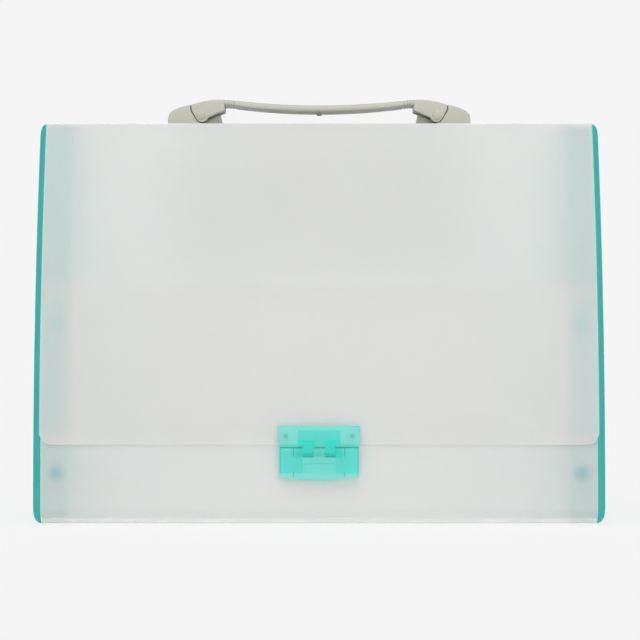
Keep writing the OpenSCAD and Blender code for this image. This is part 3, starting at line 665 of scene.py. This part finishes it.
def combined(name, first, parts):
    """First mesh joined with, or cut by, each (mesh, UNION or DIFFERENCE) in turn."""
    body = bpy.data.objects.new(name, first)
    bpy.context.scene.collection.objects.link(body)
    helpers = []
    for mesh, way in parts:
        helper = bpy.data.objects.new(name + "_tool", mesh)
        bpy.context.scene.collection.objects.link(helper)
        step = body.modifiers.new("step", "BOOLEAN")
        step.operation, step.object, step.solver = way, helper, "MANIFOLD"
        helpers.append(helper)
    made = bpy.data.meshes.new_from_object(body.evaluated_get(bpy.context.evaluated_depsgraph_get()))
    for extra in [body] + helpers:
        bpy.data.objects.remove(extra)
    made.name = name
    return smoothed(made)


def on_lid(loop, side):
    """An outline drawn for the left side about the lid's top, moved to the left or the right side."""
    loop = np.asarray(loop, float)
    return np.stack([-side * loop[:, 0], loop[:, 1] + CASE_H], 1)


front, rear = HANDLE_Y - GRIP_W / 2, HANDLE_Y + GRIP_W / 2
outer, middle, inner = -HANDLE_L / 2, -PIVOT_X + NOSE[0], -PIVOT_X + WEB_INNER
top = PIVOT_H + HEEL[1]
block_end = -PIVOT_X + HEEL[0] - SHOE_GAP
step = np.linspace(0, 1, 25) ** SLOPE_SPREAD
slope = np.stack([outer + (block_end - outer) * step, TOE_H + (top - TOE_H) * step ** SLOPE_POWER], 1)
block_loop = np.concatenate([[(outer, 0)], slope, [(middle, top), (middle, 0)]])
pocket_loop = AT_PIN + np.concatenate([
    [(HEEL[0] - SHOE_GAP, 9), (HEEL[0] - SHOE_GAP, FLANK_H)],
    arc(NOSE, NOSE_R + POCKET_GAP, -151, -90, 20), [(3, NOSE[1] - NOSE_R - POCKET_GAP), (3, 9)]])
foot_loop = [(outer, 0), (outer, FOOT_T), (inner, FOOT_T), (inner, 0)]
web_loop = AT_PIN + np.array([
    (-7.9, -6.8), (-7.9, HEEL[1]), (-3.8, HEEL[1]), (-3.8, 2.8), (8, 2.8), (8, 0.5), (5.5, -0.6),
    (3.8, -2.2), (3.8, -2.9), (8.9, -0.9), (11.8, 0.5), (13.33, -6.8)])
slot_r = PIVOT_D / 2 + SLOT_GAP
slot_loop = AT_PIN + np.concatenate([arc((SLOT_SLIDE, -SLOT_DROP), slot_r, -90, 90, 16),
                                     arc((0, -SLOT_DROP), slot_r, 90, 270, 16)])

for side, word in SIDES:
    shoe = combined(f"{word}_foot", slab("block", on_lid(block_loop, side), front, rear, 1.0), [
        (slab("pocket", on_lid(pocket_loop, side), front - 1, rear + 1, 0), "DIFFERENCE"),
        (slab("base", on_lid(foot_loop, side), front, rear, 0.4), "UNION"),
        (slab("web", on_lid(web_loop, side), HANDLE_Y - WEB_HALF, HANDLE_Y + WEB_HALF, 0.25), "UNION"),
        (slab("slot", on_lid(slot_loop, side), front - 1, rear + 1, 0), "DIFFERENCE")])
    place(f"{word}_foot", shoe, cream, "lid", [f"{word}_shoe"])

# The knuckles: cream mouldings between the shoes and the strap. Each has two cheeks astride the
# shoe's web under one roof, and turns on its pivot pin when the strap pulls.
FLEX_H, END_T = 14.6, 3.8
KNUCKLE_END, CHEEK_GAP = 14.6, 3.4
ROOF_T, ROOF_START, ROOF_BULGE = 1.0, -3.0, 1.1


def roof(x0, x1, drop):
    """The knuckle's roof: a straight line from heel to arm with a parabola of ROOF_BULGE on it."""
    x = np.linspace(x0, x1, 15)
    t = (x - HEEL[0]) / (KNUCKLE_END - HEEL[0])
    arm_top = FLEX_H + END_T / 2 - PIVOT_H
    rise = (arm_top - HEEL[1]) * t + 4 * ROOF_BULGE * t * (1 - t)
    return np.stack([x, HEEL[1] + rise - drop], 1)


arm_end = KNUCKLE_END - 1
cheek_loop = np.concatenate([
    roof(HEEL[0], KNUCKLE_END, 0), [(KNUCKLE_END, 2.6), (KNUCKLE_END - 3.7, 1.15)],
    arc(NOSE, NOSE_R, -17, -151, 24), [(HEEL[0], FLANK_H)]])
gap_loop = np.concatenate([[(-20, -20), (-20, 20), (ROOF_START, 20)],
                           roof(ROOF_START, arm_end, ROOF_T), [(arm_end, -20)]])
for side, word in SIDES:
    cheek = slab("cheek", on_lid(cheek_loop + AT_PIN, side), front, rear, 0.8)
    gap = slab("gap", on_lid(gap_loop + AT_PIN, side), HANDLE_Y - CHEEK_GAP, HANDLE_Y + CHEEK_GAP, 0)
    place(f"{word}_cheeks", combined(f"{word}_cheeks", cheek, [(gap, "DIFFERENCE")]),
          cream, f"knuckle_{word}", [f"{word}_knuckle"])

# The pivot pins: moulded cream pins, one through each knuckle's cheeks and the slot of its shoe.
# A low domed head at each end keeps the pin in.
DOME_R, DOME_H = 3.1, 0.8

cheek_y = -GRIP_W / 2
half_pin = filleted([(0, cheek_y - DOME_H, 0), (1.6, cheek_y - DOME_H + 0.08, 0),
                     (DOME_R - 0.2, cheek_y - 0.35, 0.3), (DOME_R, cheek_y + 0.05, 0),
                     (PIVOT_D / 2, cheek_y + 0.05, 0)])
pin_profile = np.concatenate([half_pin, (half_pin * [1, -1])[::-1]])
for side, word in SIDES:
    grid = turned(pin_profile, 48) + np.array([side * PIVOT_X, HANDLE_Y, CASE_H + PIVOT_H])
    place(f"{word}_hinge_pin", mesh_of(f"{word}_hinge_pin", [grid]), cream,
          f"knuckle_{word}", [f"{word}_pivot_pin"])

# The grip: a moulded cream strap, thickest in the middle, with a small gate stub under it. Four
# grooves round each end let it flex where it runs into the knuckles.
FLEX_X, MIDDLE_T, SAG = 56.0, 4.4, 3.3
CORNER_SHARE, PLAIN_END = 0.42, 3.2
GROOVES, GROOVE_R, GROOVE_D = (53.2, 55.1, 57.0, 58.9), 0.38, 0.3
STUB_R, STUB_H = 1.6, 1.5


def strap_rings(x, extra):
    """Rings of the strap: a round-cornered section as wide as the grip, whose top sags by a parabola
    and whose depth swells by another. In each groove a bell curve moves it in, most at the bottom."""
    lift = 1 - np.clip(np.abs(x) / FLEX_X, 0, 1) ** 2
    top = FLEX_H + END_T / 2 - SAG * lift
    depth = END_T + (MIDDLE_T - END_T) * lift
    bell = sum(np.exp(-((np.abs(x) - g) / GROOVE_R) ** 2) for g in GROOVES)
    half_w, half_d = GRIP_W / 2 - GROOVE_D * bell - extra, depth / 2 - GROOVE_D * bell - extra
    r = np.minimum(CORNER_SHARE * depth, half_d * 0.98)
    quarter = np.radians(np.linspace(0, 90, 9))
    ring = []
    for k, (sy, sz) in enumerate(((1, 1), (-1, 1), (-1, -1), (1, -1))):
        a = quarter + k * math.pi / 2
        ring.append(np.stack([sy * (half_w - r)[:, None] + r[:, None] * np.cos(a),
                              sz * (half_d - r)[:, None] + r[:, None] * np.sin(a)], 2))
    ring = np.concatenate(ring, axis=1)
    centre = (top - depth / 2 + GROOVE_D / 2 * bell)[:, None]
    return np.stack([x[:, None] + 0 * ring[..., 0], HANDLE_Y + ring[..., 0],
                     CASE_H + centre + ring[..., 1]], 2)


first, last = GROOVES[0], GROOVES[-1]
plain = first - PLAIN_END
run = PLAIN_END * np.linspace(0, 1, 24) ** 1.2
strap_x = np.concatenate([-first + run, np.linspace(-plain, plain, 61)[1:-1], first - run[::-1]])
strap = mesh_of("strap", [strap_rings(np.unique(np.round(strap_x, 4)), 0.0)], capped=1)
stub_top = FLEX_H + END_T / 2 - SAG - MIDDLE_T
stub = filleted([(0, 1.2, 0), (STUB_R, 1.2, 0), (STUB_R, -STUB_H, 0.35), (1.0, -STUB_H, 0.1),
                 (0.7, -1.2, 0.1), (0, -1.2, 0)])
stub_grid = turned(stub, 24)[..., [0, 2, 1]] + np.array([0, HANDLE_Y, CASE_H + stub_top])
place("grip", combined("grip", strap, [(mesh_of("stub", [stub_grid]), "UNION")]), cream,
      "grip", ["grip_strap"])

# The strap's flexing ends: the last few millimetres of the same strap, which its grooves make thin.
# Each starts tapered inside the strap and runs into its knuckle.
for side, word in SIDES:
    lead = strap_rings(side * np.array([first - 0.5, first - 0.25]), np.array([0.6, 0.3]))
    grid = np.concatenate([lead, strap_rings(side * np.linspace(first, last + 1.4, 90), 0.0)])
    flex = place(f"{word}_flex_end", mesh_of(f"{word}_flex_end", [grid], capped=1),
                 cream)
    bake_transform(flex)

# The stage: a plain pale floor, which keeps the object's shadow, and a plain pale backdrop. One large
# soft lamp stands in front and above, with a low soft fill and a weak lamp behind, and the floor glows
# a little as a painted bounce light from below.
BACKDROP, WORLD_LIGHT = 0.913, 0.35
FLOOR_GREY, FLOOR_BOUNCE = 0.88, 0.39
FLOOR_GLOW, GLOW_SHARE = 0.945, 0.8
FLOOR_HALF_M, FLOOR_DROP_M = 6.0, 0.0004


def seen_directly(tree):
    """1 for rays that come from the camera, a glossy bounce or a transmission, and 0 for others."""
    path = new_node(tree, "ShaderNodeLightPath")
    first_two = new_node(tree, "ShaderNodeMath", operation="MAXIMUM")
    all_three = new_node(tree, "ShaderNodeMath", operation="MAXIMUM")
    wire(tree, (path, "Is Camera Ray", first_two, 0), (path, "Is Glossy Ray", first_two, 1),
         (first_two, 0, all_three, 0), (path, "Is Transmission Ray", all_three, 1))
    return all_three


world = bpy.data.worlds.new("studio")
bpy.context.scene.world = world
tree = empty_tree(world)
seen = new_node(tree, "ShaderNodeBackground", Color=(BACKDROP, BACKDROP, BACKDROP, 1), Strength=1.0)
light = new_node(tree, "ShaderNodeBackground", Color=(1, 1, 1, 1), Strength=WORLD_LIGHT)
which = new_node(tree, "ShaderNodeMixShader")
sky_out = new_node(tree, "ShaderNodeOutputWorld")
wire(tree, (seen_directly(tree), 0, which, 0), (light, 0, which, 1), (seen, 0, which, 2),
     (which, 0, sky_out, 0))

floor_paint = bpy.data.materials.new("pale_floor")
tree = empty_tree(floor_paint)
floor_out = new_node(tree, "ShaderNodeOutputMaterial")
matt = new_node(tree, "ShaderNodeBsdfDiffuse", Color=(FLOOR_GREY, FLOOR_GREY, FLOOR_GREY, 1))
# The floor's glow for every ray is painted bounce light that lights the case from below.
bounce = new_node(tree, "ShaderNodeEmission", Color=(1, 1, 1, 1), Strength=FLOOR_BOUNCE)
lit = new_node(tree, "ShaderNodeAddShader")
glow = new_node(tree, "ShaderNodeEmission", Color=(BACKDROP, BACKDROP, BACKDROP, 1), Strength=FLOOR_GLOW)
share = new_node(tree, "ShaderNodeMath", operation="MULTIPLY")
share.inputs[1].default_value = GLOW_SHARE
paint = new_node(tree, "ShaderNodeMixShader")
wire(tree, (matt, 0, lit, 0), (bounce, 0, lit, 1), (seen_directly(tree), 0, share, 0),
     (share, 0, paint, 0), (lit, 0, paint, 1), (glow, 0, paint, 2), (paint, 0, floor_out, 0))

corners = [(x * FLOOR_HALF_M, y * FLOOR_HALF_M, -FLOOR_DROP_M)
           for x, y in ((-1, -1), (1, -1), (1, 1), (-1, 1))]
floor_mesh = bpy.data.meshes.new("studio_floor")
floor_mesh.from_pydata(corners, [], [(0, 1, 2, 3)])
floor_mesh.materials.append(floor_paint)
studio_floor = bpy.data.objects.new("studio_floor", floor_mesh)
bpy.context.scene.collection.objects.link(studio_floor)


def sun(name, strength, width, azimuth, elevation):
    """A far lamp as wide as a softbox, in degrees, that shines down from an azimuth and elevation."""
    lamp = bpy.data.lights.new(name, "SUN")
    lamp.energy, lamp.angle = strength, math.radians(width)
    holder = bpy.data.objects.new(name, lamp)
    holder.rotation_euler = (math.radians(90 - elevation), 0, math.radians(azimuth))
    bpy.context.scene.collection.objects.link(holder)


sun("softbox", 1.2, 40, -10, 58)
sun("fill", 1.32, 60, 10, 8)
sun("back_light", 0.4, 30, 180, 35)

# The camera: straight in front of the case and level with its middle, with a long lens, so that its
# sides barely draw together.
camera = bpy.data.cameras.new("camera")
camera.sensor_width, camera.lens = 36.0, 119.06
camera.clip_start, camera.clip_end = 0.01, 50
eye = bpy.data.objects.new("camera", camera)
eye.location = (0.0005, -1.315, 0.1228)
eye.rotation_euler = (math.radians(90), 0, 0)
bpy.context.scene.collection.objects.link(eye)
bpy.context.scene.camera = eye
bpy.context.scene.view_settings.view_transform = "Standard"
